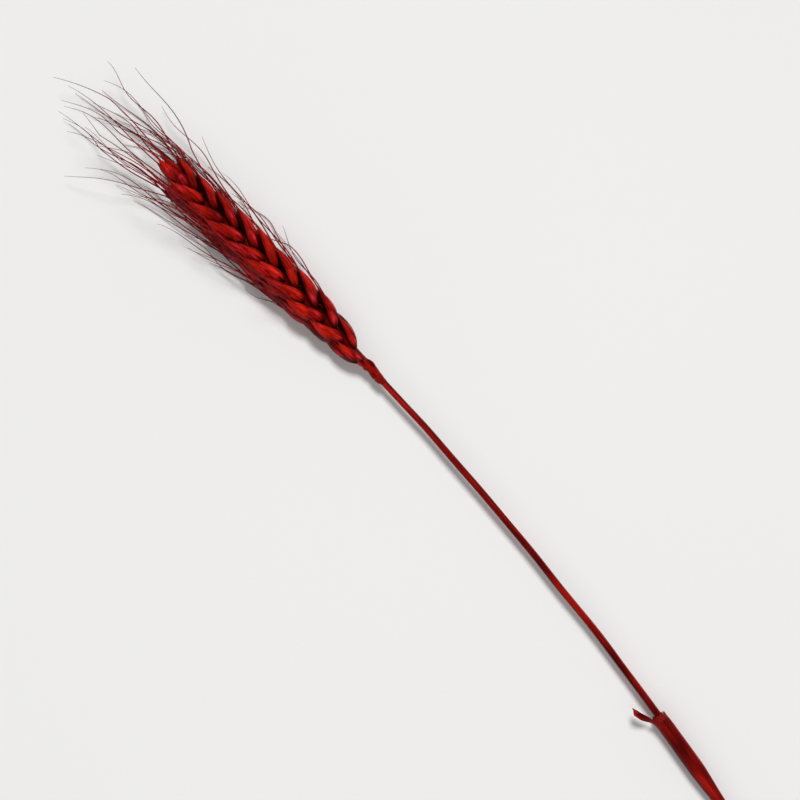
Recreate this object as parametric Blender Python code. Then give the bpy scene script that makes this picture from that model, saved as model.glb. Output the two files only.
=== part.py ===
# A bearded wheat ear on its cut straw, dried and dyed red, lying on a surface.
# Metres, +Z up. The ear points to -X and the cut end of the straw to +X; z = 0 is the surface.

import math
import random
from collections import namedtuple

import bmesh
import bpy
from mathutils import Matrix, Vector

# Lengths along the stalk, measured from the cut end
STRAW_LENGTH = 0.466
EAR_LENGTH = 0.086
LOWER_JOINT = 0.050
TOP_JOINT = 0.200
CUT_END_X = 0.2992

# The stalk's course: distance from the cut end, then sideways offset or height of the centreline
SIDEWAYS = ((0.0, -0.0188), (0.12, -0.0038), (0.2, 0.0052), (0.3, 0.0137), (0.38, 0.0172), (0.466, 0.0147),
            (0.552, 0.0052))
HEIGHT = ((0.0, 0.0026), (0.05, 0.0028), (0.115, 0.0030), (0.2, 0.0034), (0.335, 0.0042), (0.466, 0.0050),
          (0.552, 0.0053))
DIRECTION_SPAN = 0.001

# The straw's own radius, and the swelling of its two joints
STRAW_RADIUS = ((0.0, 0.00170), (0.05, 0.00170), (0.2, 0.00150), (0.23, 0.00130), (0.4, 0.00110),
                (0.47, 0.00100))
JOINT_SWELL = 0.00050
JOINT_HALF_LENGTH = 0.0030
JOINT_RINGS = (-0.0060, -0.0030, -0.0012, 0.0012, 0.0030, 0.0060)
STRAW_STEP = 0.010
STRAW_WALL = 0.00055
BORE_LENGTH = 0.044

# The leaf sheaths that wrap the straw above each joint
SHEATH_GAP = 0.00030
SHEATH_WALL = 0.00060
SHEATH_STEP = 0.006
FLAG_SHEATH = (0.2045, 0.3350)
LOWER_SHEATH = (0.0545, 0.1280)
FLAG_STUB_TURN = math.radians(20)
LOWER_STUB_TURN = math.radians(150)
SHEATH_MOUTH_BULGE = 0.00045
SHEATH_BULGE_LENGTH = 0.012
BLADE_STUB_LENGTH = 0.0095
BLADE_STUB_WIDTH = 0.0030
BLADE_NARROWING = 0.6
BLADE_THICKNESS = 0.00070
BLADE_SEAT = 0.00010
BLADE_ROOT = 0.003
BLADE_SIDES = 6
BLADE_FLARE = 0.0035
BLADE_FLARE_POWER = 1.6

# The ear: spikelets in two rows on a rachis, with one more at the tip
SPIKELETS = 18
FIRST_SPIKELET = 0.0092
RACHIS_STEP = 0.0042
LAST_STEP = 0.0024
SEAM_GAP = 0.00030
FIRST_DRAW = 100
EAR_ROLL = math.radians(16)
EAR_TWIST = math.radians(14)
EAR_FULLNESS = ((0.0, 0.68), (0.15, 0.88), (0.4, 1.0), (0.75, 0.94), (1.0, 0.78))
SIZE_DRAW = (0.96, 1.04)
SPIKELET_LEAN = ((0.0, 9.0), (0.2, 13.0), (0.7, 13.0), (1.0, 10.0))
LEAN_DRAW = (0.88, 1.12)
SPIKELET_FOOT = 0.0010
RACHIS_RADIUS = ((0.0, 0.00110), (0.006, 0.00125), (0.014, 0.0018), (0.039, 0.0026), (0.069, 0.0023),
                 (0.080, 0.0018), (0.088, 0.0009))
RACHIS_PLACES = (SEAM_GAP, 0.005, 0.010, 0.014, 0.020, 0.028, 0.040, 0.052, 0.064, 0.074, 0.081, 0.0875)

# A husk scale: where its foot sits in the spikelet, how far it fans and faces sideways (degrees), its size,
# and how far its tip lifts off its own line
Bract = namedtuple("Bract", "across outward along fan facing length width depth lift")
GLUME = Bract(0.00170, 0.00015, 0.0000, 9.0, 60.0, 0.0098, 0.0043, 0.0026, 0.0012)
SIDE_LEMMA = Bract(0.00155, 0.00055, 0.0017, 9.0, 62.0, 0.0122, 0.0045, 0.0032, 0.0003)
MIDDLE_LEMMA = Bract(0.00000, 0.00125, 0.0032, 0.0, 0.0, 0.0112, 0.0042, 0.0029, 0.0003)
BARREN_SCALE = Bract(0.00000, 0.00055, 0.0000, 0.0, 0.0, 0.0056, 0.0026, 0.0015, 0.0003)
BARREN_PLACES = (0.0014, 0.0040, 0.0066)
BARREN_LEAN = math.radians(7)
BRACT_FOOT_POWER = 0.5
BRACT_TIP_POWER = 0.9
BRACT_SIDES = 6
BRACT_RINGS = 5
BELLY_SHARE = 0.55
BRACT_ARCH = 0.10

# The awns, one on the tip of each side lemma
AWN_FOOT_RADIUS = 0.00040
AWN_TIP_RADIUS = 0.00020
AWN_LENGTH = ((0.0, 0.034), (0.5, 0.043), (1.0, 0.038))
AWN_LENGTH_DRAW = (0.88, 1.10)
AWN_STEPS = 6
AWN_SINK = 0.0022
AWN_REST = 0.00045
AWN_SOFTNESS = 0.00060
AWN_TURN = 0.22
AWN_OUTWARD = 0.07
AWN_OUTWARD_DRAW = (-0.08, 0.11)
AWN_SIDEWAYS = 0.05
AWN_SIDEWAYS_DRAW = (-0.10, 0.10)

# The slab below the surface that trims the scales pressed on it
SLAB_SIZE = (0.8, 0.2, 0.02)
WELD_DISTANCE = 1e-6

SHARP_ANGLE = math.radians(40)
HUSK_ROUGHNESS = 0.55
STRAW_ROUGHNESS = 0.35
SHEATH_ROUGHNESS = 0.60
RED_HUSK = (0.300, 0.010, 0.008, 1.0)
RED_STRAW = (0.330, 0.012, 0.016, 1.0)
RED_SHEATH = (0.240, 0.010, 0.010, 1.0)


def clear_scene():
    for thing in list(bpy.data.objects):
        bpy.data.objects.remove(thing)


def collection_named(name):
    made = bpy.data.collections.new(name)
    bpy.context.scene.collection.children.link(made)
    return made


def material_named(name, colour, roughness):
    made = bpy.data.materials.new(name)
    made.use_nodes = True
    shader = made.node_tree.nodes["Principled BSDF"]
    shader.inputs["Base Color"].default_value = colour
    shader.inputs["Roughness"].default_value = roughness
    shader.inputs["Metallic"].default_value = 0.0
    return made


def value_at(points, place):
    """A smooth curve through (place, value) points, read at one place."""
    last = len(points) - 1
    k = min(max(sum(place >= p[0] for p in points) - 1, 0), last - 1)
    slopes = []
    for end in (k, k + 1):
        before, after = points[max(end - 1, 0)], points[min(end + 1, last)]
        slopes.append((after[1] - before[1]) / (after[0] - before[0]))
    (start, low), (stop, high) = points[k], points[k + 1]
    span = stop - start
    t = (place - start) / span
    ends = (1 + 2 * t) * (1 - t) ** 2 * low + t * t * (3 - 2 * t) * high
    return ends + t * (1 - t) * span * ((1 - t) * slopes[0] - t * slopes[1])


def stalk_point(s):
    """The centreline at distance s from the cut end."""
    return Vector((CUT_END_X - s, value_at(SIDEWAYS, s), value_at(HEIGHT, s)))


def stalk_direction(s):
    """Which way the centreline runs at distance s, towards the ear."""
    return (stalk_point(s + DIRECTION_SPAN) - stalk_point(s - DIRECTION_SPAN)).normalized()


def straw_radius(s):
    swell = sum(JOINT_SWELL * math.exp(-(((s - joint) / JOINT_HALF_LENGTH) ** 2))
                for joint in (LOWER_JOINT, TOP_JOINT))
    return value_at(STRAW_RADIUS, s) + swell


def steps_between(start, stop, step):
    count = max(2, round((stop - start) / step))
    return [start + (stop - start) * k / count for k in range(count + 1)]


def tube_object(name, places, radii, sides_resolution=2, caps=True):
    """A round tube along the given points, as a curve with one radius for each point."""
    curve = bpy.data.curves.new(name, "CURVE")
    curve.dimensions = "3D"
    curve.bevel_depth = 1.0
    curve.bevel_resolution = sides_resolution
    curve.use_fill_caps = caps
    spline = curve.splines.new("POLY")
    spline.points.add(len(places) - 1)
    for point, place, radius in zip(spline.points, places, radii):
        point.co = (*place, 1.0)
        point.radius = radius
    return bpy.data.objects.new(name, curve)


def as_mesh(curve_object, collection):
    """Turns a curve object into a closed mesh object in the collection."""
    bpy.context.scene.collection.objects.link(curve_object)
    graph = bpy.context.evaluated_depsgraph_get()
    mesh = bpy.data.meshes.new_from_object(curve_object.evaluated_get(graph))
    made = bpy.data.objects.new(curve_object.name + "_mesh", mesh)
    made.matrix_world = curve_object.matrix_world
    name = curve_object.name
    bpy.data.objects.remove(curve_object)
    made.name = name
    weld = bmesh.new()
    weld.from_mesh(mesh)
    bmesh.ops.remove_doubles(weld, verts=weld.verts, dist=WELD_DISTANCE)
    bmesh.ops.recalc_face_normals(weld, faces=weld.faces)
    weld.to_mesh(mesh)
    weld.free()
    collection.objects.link(made)
    return made


def apply_modifiers(thing):
    """Replaces the object's mesh with its evaluated one."""
    bpy.context.view_layer.update()
    graph = bpy.context.evaluated_depsgraph_get()
    mesh = bpy.data.meshes.new_from_object(thing.evaluated_get(graph))
    thing.modifiers.clear()
    thing.data = mesh


def cut_with(thing, cutter, name, solver="EXACT"):
    cutter.hide_render = True
    cutter.display_type = "WIRE"
    change = thing.modifiers.new(name, "BOOLEAN")
    change.operation = "DIFFERENCE"
    change.solver = solver
    change.object = cutter


def join_collection(thing, collection):
    """Fuses every object of the collection into thing, then removes them."""
    change = thing.modifiers.new("grown_together", "BOOLEAN")
    change.operation = "UNION"
    change.operand_type = "COLLECTION"
    change.collection = collection
    change.solver = "MANIFOLD"
    apply_modifiers(thing)
    for repeat in list(collection.objects):
        bpy.data.objects.remove(repeat)
    bpy.data.collections.remove(collection)


def keep_largest_shell(thing):
    """Fills the hollows that fusing sealed and drops loose scraps: only the largest closed shell stays."""
    shape = bmesh.new()
    shape.from_mesh(thing.data)
    unseen = set(shape.faces)
    shells = []
    while unseen:
        shell, edge = set(), [unseen.pop()]
        while edge:
            face = edge.pop()
            shell.add(face)
            for near in (link for side in face.edges for link in side.link_faces):
                if near in unseen:
                    unseen.discard(near)
                    edge.append(near)
        shells.append(shell)
    largest = max(shells, key=len)
    drop = [face for shell in shells if shell is not largest for face in shell]
    bmesh.ops.delete(shape, geom=drop, context="FACES")
    loose = [v for v in shape.verts if not v.link_faces]
    bmesh.ops.delete(shape, geom=loose, context="VERTS")
    shape.to_mesh(thing.data)
    shape.free()


def ear_axes(s):
    """Across, up and along directions of the ear at distance s, rolled and twisted about its line."""
    along = stalk_direction(s)
    across = Vector((0.0, 0.0, 1.0)).cross(along).normalized()
    up = along.cross(across)
    share = (s - STRAW_LENGTH) / EAR_LENGTH
    turn = Matrix.Rotation(EAR_ROLL + EAR_TWIST * share, 3, along)
    return turn @ across, turn @ up, along


def bract_width(t):
    """The outline of a husk scale, foot (0) to tip (1), as a share of its full width."""
    widest = BRACT_FOOT_POWER / (BRACT_FOOT_POWER + BRACT_TIP_POWER)
    fullest = widest ** BRACT_FOOT_POWER * (1 - widest) ** BRACT_TIP_POWER
    return t ** BRACT_FOOT_POWER * (1 - t) ** BRACT_TIP_POWER / fullest


def bract_object(name, frame, bract, size):
    """One husk scale: a sphere drawn out to a point, its back full and its belly flatter."""
    length, width, depth = bract.length * size, bract.width * size, bract.depth * size
    shape = bmesh.new()
    bmesh.ops.create_uvsphere(shape, u_segments=BRACT_SIDES, v_segments=BRACT_RINGS, radius=1.0)
    for v in shape.verts:
        t = min(max((v.co.z + 1) / 2, 0.0), 1.0)
        direction = Vector((v.co.x, v.co.y))
        direction = direction.normalized() if direction.length > WELD_DISTANCE else Vector((0.0, 0.0))
        share = bract_width(t)
        back = depth / 2 if direction.y > 0 else depth / 2 * BELLY_SHARE
        arch = BRACT_ARCH * length * math.sin(math.pi * t) / 2 + bract.lift * size * t * t
        v.co = (direction.x * share * width / 2, direction.y * share * back + arch, t * length)
    mesh = bpy.data.meshes.new(name)
    shape.to_mesh(mesh)
    shape.free()
    made = bpy.data.objects.new(name, mesh)
    made.matrix_world = frame
    return made


def bract_frame(foot, across, outward, along, facing):
    """Axes of a bract: its back turns from outward towards across by the facing angle."""
    back = (outward * math.cos(facing) + across * math.sin(facing)).normalized()
    back = (back - along * back.dot(along)).normalized()
    side = back.cross(along)
    frame = Matrix((side, back, along)).transposed().to_4x4()
    frame.translation = foot
    return frame


def rest_on_surface(point):
    """Bends a point that would sink under the surface clear of it."""
    depth = (point.z - AWN_REST) / AWN_SOFTNESS
    soft = AWN_SOFTNESS * math.log1p(math.exp(depth)) if depth < 30 else point.z - AWN_REST
    return Vector((point.x, point.y, AWN_REST + soft))


def awn_object(name, root, start_direction, end_direction, length):
    """A bristle that leaves along the bract and soon swings round to its end direction."""
    places, radii = [], []
    for k in range(AWN_STEPS + 1):
        u = k / AWN_STEPS
        swing = AWN_TURN * (1 - math.exp(-u / AWN_TURN))
        reach = end_direction * u + (start_direction - end_direction) * swing
        places.append(rest_on_surface(root + reach * length))
        radii.append(AWN_FOOT_RADIUS + (AWN_TIP_RADIUS - AWN_FOOT_RADIUS) * u)
    return tube_object(name, places, radii, sides_resolution=0)


def add_barren_scales(bracts):
    """The small empty scales on the ear's neck, on alternate sides."""
    for number, place in enumerate(BARREN_PLACES):
        distance = STRAW_LENGTH + place
        across, up, along = ear_axes(distance)
        row = across if number % 2 == 0 else -across
        grow = along * math.cos(BARREN_LEAN) + row * math.sin(BARREN_LEAN)
        frame = bract_frame(stalk_point(distance) + row * BARREN_SCALE.outward, up, row, grow, 0.0)
        bracts.objects.link(bract_object(f"barren_scale_{number}", frame, BARREN_SCALE, 1.0))


def add_spikelet(number, bracts):
    """Two glumes, three lemmas and two awns at one step of the rachis."""
    draw = random.Random(FIRST_DRAW + number)
    terminal = number == SPIKELETS
    distance = STRAW_LENGTH + FIRST_SPIKELET + number * RACHIS_STEP
    if terminal:
        distance += LAST_STEP - RACHIS_STEP
    share = number / SPIKELETS
    across, up, along = ear_axes(distance)
    side = 1 if number % 2 == 0 else -1
    row = up if terminal else across * side
    fan = across if terminal else up
    lean = 0.0 if terminal else math.radians(value_at(SPIKELET_LEAN, share)) * draw.uniform(*LEAN_DRAW)
    size = value_at(EAR_FULLNESS, share) * draw.uniform(*SIZE_DRAW)
    axis = along * math.cos(lean) + row * math.sin(lean)
    outward = row * math.cos(lean) - along * math.sin(lean)
    foot = stalk_point(distance) + row * SPIKELET_FOOT * (0 if terminal else 1)
    plan = [(GLUME, 1), (GLUME, -1), (SIDE_LEMMA, 1), (SIDE_LEMMA, -1), (MIDDLE_LEMMA, 1)]
    for k, (bract, sign) in enumerate(plan):
        angle = math.radians(bract.fan) * sign
        grow = axis * math.cos(angle) + fan * math.sin(angle)
        spread = fan * math.cos(angle) - axis * math.sin(angle)
        base = foot + (fan * bract.across * sign + outward * bract.outward + axis * bract.along) * size
        frame = bract_frame(base, spread, outward, grow, math.radians(bract.facing) * sign)
        bracts.objects.link(bract_object(f"bract_{number}_{k}", frame, bract, size))
        if bract is not SIDE_LEMMA:
            continue
        swing = row * (AWN_OUTWARD + draw.uniform(*AWN_OUTWARD_DRAW))
        swing += fan * (AWN_SIDEWAYS * sign + draw.uniform(*AWN_SIDEWAYS_DRAW))
        root = base + grow * (bract.length * size - AWN_SINK)
        reach = value_at(AWN_LENGTH, share) * draw.uniform(*AWN_LENGTH_DRAW)
        awn = awn_object(f"awn_{number}_{k}", root, grow, (along + swing).normalized(), reach)
        as_mesh(awn, bracts)


def floor_cutter(collection):
    """A slab under the surface that trims what presses on it to small flat spots."""
    shape = bmesh.new()
    bmesh.ops.create_cube(shape, size=1.0)
    mesh = bpy.data.meshes.new("under_the_surface")
    shape.to_mesh(mesh)
    shape.free()
    slab = bpy.data.objects.new("under_the_surface", mesh)
    slab.data.transform(Matrix.Diagonal((*SLAB_SIZE, 1.0)))
    slab.location = (0.0, 0.0, -SLAB_SIZE[2] / 2)
    collection.objects.link(slab)
    return slab


def make_ear(collection, cutters, material):
    """The whole head as one grown body: rachis, spikelets and awns."""
    start = STRAW_LENGTH + SEAM_GAP
    places = [STRAW_LENGTH + p for p in RACHIS_PLACES]
    radii = [value_at(RACHIS_RADIUS, max(s - start, 0.0)) for s in places]
    ear = as_mesh(tube_object("ear", [stalk_point(s) for s in places], radii), collection)
    bracts = collection_named("bracts_and_awns")
    add_barren_scales(bracts)
    for number in range(SPIKELETS + 1):
        add_spikelet(number, bracts)
    join_collection(ear, bracts)
    keep_largest_shell(ear)
    cut_with(ear, floor_cutter(cutters), "flat_spots", solver="MANIFOLD")
    ear.data.materials.clear()
    ear.data.materials.append(material)
    return ear


def make_straw(collection, cutters, material):
    """The hollow straw with its two swollen joints and its cut end."""
    places = set(steps_between(0.0, STRAW_LENGTH, STRAW_STEP))
    for joint in (LOWER_JOINT, TOP_JOINT):
        places = {s for s in places if abs(s - joint) > JOINT_RINGS[-1]}
        places |= {joint + ring for ring in JOINT_RINGS}
    places = sorted(places)
    radii = [straw_radius(s) for s in places]
    straw = as_mesh(tube_object("straw", [stalk_point(s) for s in places], radii), collection)
    inside = steps_between(-STRAW_STEP / 2, BORE_LENGTH, STRAW_STEP)
    radii = [value_at(STRAW_RADIUS, max(s, 0.0)) - STRAW_WALL for s in inside]
    bore = as_mesh(tube_object("straw_bore", [stalk_point(s) for s in inside], radii), cutters)
    cut_with(straw, bore, "hollow_end")
    straw.data.materials.append(material)
    return straw


def sheath_bulge(s, mouth):
    """A sheath stands off a little just below its mouth."""
    return SHEATH_MOUTH_BULGE * math.exp(-(((mouth - SHEATH_BULGE_LENGTH - s) / SHEATH_BULGE_LENGTH) ** 2))


def make_sheath(name, span, collection, cutters, material, stub_turn):
    """A leaf sheath wrapped round the straw, with the torn stub of its blade at the mouth."""
    foot, mouth = span
    places = steps_between(foot, mouth, SHEATH_STEP)
    inner = [straw_radius(s) + SHEATH_GAP + sheath_bulge(s, mouth) for s in places]
    sheath = as_mesh(tube_object(name, [stalk_point(s) for s in places],
                                 [r + SHEATH_WALL for r in inner]), collection)
    stubs = collection_named(name + "_blade")
    along = stalk_direction(mouth)
    away = Matrix.Rotation(stub_turn, 3, along) @ Vector((0.0, 0.0, 1.0)).cross(along).normalized()
    side = along.cross(away)
    stub = bmesh.new()
    bmesh.ops.create_uvsphere(stub, u_segments=BLADE_SIDES, v_segments=BLADE_SIDES, radius=1.0)
    for v in stub.verts:
        t = (v.co.z + 1) / 2
        lift = inner[-1] + BLADE_THICKNESS / 2 + BLADE_SEAT + BLADE_FLARE * t ** BLADE_FLARE_POWER
        width = BLADE_STUB_WIDTH / 2 * (1 - BLADE_NARROWING * t)
        v.co = (stalk_point(mouth - BLADE_ROOT) + along * (t * BLADE_STUB_LENGTH)
                + away * (lift + v.co.y * BLADE_THICKNESS / 2) + side * v.co.x * width)
    mesh = bpy.data.meshes.new(name + "_stub")
    bmesh.ops.recalc_face_normals(stub, faces=stub.faces)
    stub.to_mesh(mesh)
    stub.free()
    stubs.objects.link(bpy.data.objects.new(name + "_stub", mesh))
    join_collection(sheath, stubs)
    past = [foot - SHEATH_STEP / 2] + places + [mouth + SHEATH_STEP / 2]
    hole = as_mesh(tube_object(name + "_hole", [stalk_point(s) for s in past],
                               [inner[0]] + inner + [inner[-1]]), cutters)
    cut_with(sheath, hole, "straw_runs_through", solver="MANIFOLD")
    apply_modifiers(sheath)
    keep_largest_shell(sheath)
    sheath.data.materials.clear()
    sheath.data.materials.append(material)
    return sheath


def shade_round(thing):
    thing.data.shade_smooth()
    thing.data.set_sharp_from_angle(angle=SHARP_ANGLE)


def main():
    clear_scene()
    parts = collection_named("wheat_ear")
    cutters = collection_named("cutters")
    husk = material_named("red_husk", RED_HUSK, HUSK_ROUGHNESS)
    stem = material_named("red_straw", RED_STRAW, STRAW_ROUGHNESS)
    leaf = material_named("red_sheath", RED_SHEATH, SHEATH_ROUGHNESS)
    made = [
        make_ear(parts, cutters, husk),
        make_straw(parts, cutters, stem),
        make_sheath("flag_leaf_sheath", FLAG_SHEATH, parts, cutters, leaf, FLAG_STUB_TURN),
        make_sheath("lower_leaf_sheath", LOWER_SHEATH, parts, cutters, leaf, LOWER_STUB_TURN),
    ]
    for thing in made:
        shade_round(thing)


main()
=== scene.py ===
# Dried bearded wheat, dyed red: one ear on its own straw, lying on a pale table.
# The camera looks straight down. The ear is at the upper left, and the straw leaves at the lower right.

import math
import random

import bpy
from mathutils import Matrix, Vector, noise


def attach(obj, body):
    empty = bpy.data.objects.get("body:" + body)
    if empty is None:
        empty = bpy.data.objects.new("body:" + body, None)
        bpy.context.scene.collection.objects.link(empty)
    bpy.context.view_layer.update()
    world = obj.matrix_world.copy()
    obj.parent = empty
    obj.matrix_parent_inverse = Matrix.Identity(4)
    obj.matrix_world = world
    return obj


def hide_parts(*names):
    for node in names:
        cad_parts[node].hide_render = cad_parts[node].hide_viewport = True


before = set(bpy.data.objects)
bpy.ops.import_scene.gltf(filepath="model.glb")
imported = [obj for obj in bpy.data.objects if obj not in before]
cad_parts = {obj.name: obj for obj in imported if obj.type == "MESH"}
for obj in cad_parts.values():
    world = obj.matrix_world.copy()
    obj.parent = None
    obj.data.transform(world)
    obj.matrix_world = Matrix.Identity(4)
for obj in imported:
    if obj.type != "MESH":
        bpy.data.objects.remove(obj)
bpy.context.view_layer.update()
print("frame loaded:", ", ".join(sorted(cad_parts)))

mm = 0.001
fullTurn = 2 * math.pi
upward = Vector((0.0, 0.0, 1.0))

# the stalk's line, the same as in the solids: s runs from the cut end (0) to the tip of the ear
stalk = {
    "strawLength": 0.466,
    "earLength": 0.086,
    "cutEndX": 0.2992,
    "joints": (0.050, 0.200),
    "sideways": ((0.0, -0.0188), (0.12, -0.0038), (0.2, 0.0052), (0.3, 0.0137), (0.38, 0.0172),
                 (0.466, 0.0147), (0.552, 0.0052)),
    "height": ((0.0, 0.0026), (0.05, 0.0028), (0.115, 0.0030), (0.2, 0.0034), (0.335, 0.0042),
               (0.466, 0.0050), (0.552, 0.0053)),
    "radius": ((0.0, 0.00170), (0.05, 0.00170), (0.2, 0.00150), (0.23, 0.00130), (0.4, 0.00110),
               (0.47, 0.00100)),
    "jointSwell": (0.00050, 0.0, 0.0030),  # how high, where and how long, here and below
}

# the bare straw below the ear isn't quite even
sway = dict(most=0.00070, seed=2.0, pitch=0.022, span=(0.342, 0.360, 0.444, 0.462))


def valueAt(points, place):
    # smooth curve through (place, value) pairs
    last = len(points) - 1
    k = min(max(sum(place >= p[0] for p in points) - 1, 0), last - 1)
    slopes = []
    for end in (k, k + 1):
        before, after = points[max(end - 1, 0)], points[min(end + 1, last)]
        slopes.append((after[1] - before[1]) / (after[0] - before[0]))
    (start, low), (stop, high) = points[k], points[k + 1]
    span = stop - start
    t = (place - start) / span
    ends = (1 + 2 * t) * (1 - t) ** 2 * low + t * t * (3 - 2 * t) * high
    return ends + t * (1 - t) * span * ((1 - t) * slopes[0] - t * slopes[1])


def easeIn(value, low, high):
    # 0 below low, 1 above high, smooth between
    t = min(max((value - low) / (high - low), 0.0), 1.0)
    return t * t * (3 - 2 * t)


def hump(value, centre, spread):
    # 1 at the centre, fading to 0 either side
    return math.exp(-(((value - centre) / spread) ** 2))


def swelling(value, height, centre, spread):
    return height * hump(value, centre, spread)


def plateau(value, low, lowFull, highFull, high):
    # 1 between the two inner places, 0 outside the two outer ones
    return easeIn(value, low, lowFull) * (1 - easeIn(value, highFull, high))


def swung(one, two, turn):
    # the way that is turned from one towards two
    return one * math.cos(turn) + two * math.sin(turn)


def roughness(seed, *place):
    # smooth random value between about -1 and 1
    x, y, z = (*place, 0.0, 0.0)[:3]
    return noise.noise(Vector((x, y, z + seed)))


def swayAt(s):
    return sway["most"] * plateau(s, *sway["span"]) * roughness(sway["seed"], s / sway["pitch"])


def stalkPoint(s):
    y = valueAt(stalk["sideways"], s) + swayAt(s)
    return Vector((stalk["cutEndX"] - s, y, valueAt(stalk["height"], s)))


def stalkAxes(s):
    along = (stalkPoint(s + mm) - stalkPoint(s - mm)).normalized()
    across = upward.cross(along).normalized()
    return across, along.cross(across), along


def strawRadius(s):
    swell = sum(swelling(s - joint, *stalk["jointSwell"]) for joint in stalk["joints"])
    return valueAt(stalk["radius"], s) + swell


def ringTurns(sides):
    return [fullTurn * j / sides for j in range(sides)]


def ringPoint(s, turn, radius):
    # a place round the stalk's line
    across, up = stalkAxes(s)[:2]
    return stalkPoint(s) + swung(across, up, turn) * radius


def ringGrain(s, turn, spread=2.0):
    return math.cos(turn) * spread, math.sin(turn) * spread, s * 1000


def addObject(name, data):
    made = bpy.data.objects.new(name, data)
    bpy.context.scene.collection.objects.link(made)
    return made


class Skin:
    # gathers the points, faces and per-point looks of one piece
    def __init__(self):
        self.points, self.faces, self.grain = [], [], []
        # shade is painted shade on the husk scales, rachis, bore and leaves, the dark of the straw's
        # joints and the awns' root-to-tip tone; pale is a painted highlight on the husk scales and paler
        # colour elsewhere
        self.looks = {"tint": [], "shade": [], "pale": []}

    def point(self, place, grain=(0.0, 0.0, 0.0), tint=0.5, shade=1.0, pale=0.0):
        self.points.append(tuple(place))
        self.grain.append(tuple(grain))
        self.looks["tint"].append(tint)
        self.looks["shade"].append(shade)
        self.looks["pale"].append(pale)
        return len(self.points) - 1

    def loft(self, rows):
        # bands of quads between neighbouring rows of point numbers
        for low, high in zip(rows, rows[1:]):
            for k in range(len(low)):
                j = (k + 1) % len(low)
                self.faces.append((low[k], low[j], high[j], high[k]))

    def fan(self, row, centre, flip=False):
        for one, two in zip(row, row[1:] + row[:1]):
            self.faces.append((two, one, centre) if flip else (one, two, centre))

    def sheet(self, rows):
        # a thin sheet, whose rows run out along one face and back along the other
        self.loft(rows)
        for row, flip in ((rows[0], True), (rows[-1], False)):
            for j in range(len(row) // 2 - 1):
                strip = (row[j], row[j + 1], row[-2 - j], row[-1 - j])
                self.faces.append(strip[::-1] if flip else strip)

    def spike(self, root, tip, width, sideways, shade, tint):
        # a three-sided hair or barb
        along = (tip - root).normalized()
        one = (sideways - along * sideways.dot(along)).normalized()
        two = along.cross(one)
        ring = []
        for turn in ringTurns(3):
            edge = root + swung(one, two, turn) * width / 2
            ring.append(self.point(edge, root * 1000, tint, shade))
        self.fan(ring, self.point(tip, tip * 1000, tint, shade))
        self.faces.append(tuple(reversed(ring)))

    def piece(self, name, paint, slot, nodes):
        mesh = bpy.data.meshes.new(name)
        mesh.from_pydata(self.points, [], self.faces)
        mesh.validate()
        grain = mesh.attributes.new("grain", "FLOAT_VECTOR", "POINT")
        grain.data.foreach_set("vector", [c for g in self.grain for c in g])
        for look, values in self.looks.items():
            held = mesh.attributes.new(look, "FLOAT", "POINT")
            held.data.foreach_set("value", values)
        mesh.shade_smooth()
        mesh.materials.append(paint)
        made = addObject(name, mesh)
        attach(made, "root")
        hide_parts(*nodes)
        print("  made", name, "with", len(self.faces), "faces")


# node helpers for the paints

def startPaint(name, look):
    paint = bpy.data.materials.new(name)
    paint.use_nodes = True
    shader = paint.node_tree.nodes["Principled BSDF"]
    shader.inputs["Roughness"].default_value = look["roughness"]
    shader.inputs["Specular IOR Level"].default_value = look["glossLevel"]
    shader.inputs["Specular Tint"].default_value = look["gloss"]
    return paint, paint.node_tree


def finishPaint(paint, body, roughness=None, normal=None):
    tree = paint.node_tree
    shader = tree.nodes["Principled BSDF"]
    for socket, value in (("Base Color", body), ("Roughness", roughness), ("Normal", normal)):
        if value is not None:
            tree.links.new(value, shader.inputs[socket])
    return paint


def plug(tree, socket, value):
    # a socket takes another node's output or a plain value
    if isinstance(value, bpy.types.NodeSocket):
        tree.links.new(value, socket)
    elif socket.type == "RGBA" and len(value) == 3:
        socket.default_value = (*value, 1.0)
    else:
        socket.default_value = value


def addNode(tree, kind, links, **settings):
    made = tree.nodes.new(kind)
    for key, value in settings.items():
        setattr(made, key, value)
    for socket, value in links.items():
        plug(tree, made.inputs[socket], value)
    return made


def readLook(tree, look):
    held = addNode(tree, "ShaderNodeAttribute", {}, attribute_name=look)
    return held.outputs["Vector"] if look == "grain" else held.outputs["Fac"]


def grainNoise(tree, fineness, detail=3.0):
    # noise by the piece's own grain: how many features a millimetre has, around and along
    around, along = fineness
    spread = addNode(tree, "ShaderNodeMapping", {"Vector": readLook(tree, "grain"),
                                                 "Scale": (around, around, along)})
    return addNode(tree, "ShaderNodeTexNoise", {"Vector": spread.outputs[0], "Scale": 1.0,
                                                "Detail": detail, "Roughness": 0.55}).outputs["Fac"]


def ramp(tree, factor, stops):
    made = addNode(tree, "ShaderNodeValToRGB", {"Fac": factor})
    band = made.color_ramp
    band.elements.remove(band.elements[-1])
    for k, (place, colour) in enumerate(stops):
        element = band.elements[0] if k == 0 else band.elements.new(place)
        element.position = place
        element.color = (*colour, 1.0)
    return made.outputs["Color"]


def blend(tree, kind, factor, one, two):
    made = addNode(tree, "ShaderNodeMix", {}, data_type="RGBA", blend_type=kind)
    for socket, value in ((0, factor), (6, one), (7, two)):
        plug(tree, made.inputs[socket], value)
    return made.outputs[2]


def remap(tree, value, low, high, toLow, toHigh):
    return addNode(tree, "ShaderNodeMapRange", {"Value": value, "From Min": low, "From Max": high,
                                                "To Min": toLow, "To Max": toHigh}).outputs[0]


def combine(tree, operation, one, two):
    return addNode(tree, "ShaderNodeMath", {0: one, 1: two}, operation=operation).outputs[0]


def bumpFrom(tree, height, relief, under=None):
    # relief is how deep in metres and how strong
    links = {"Height": height, "Distance": relief[0], "Strength": relief[1]}
    if under is not None:
        links["Normal"] = under
    return addNode(tree, "ShaderNodeBump", links).outputs["Normal"]


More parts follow.
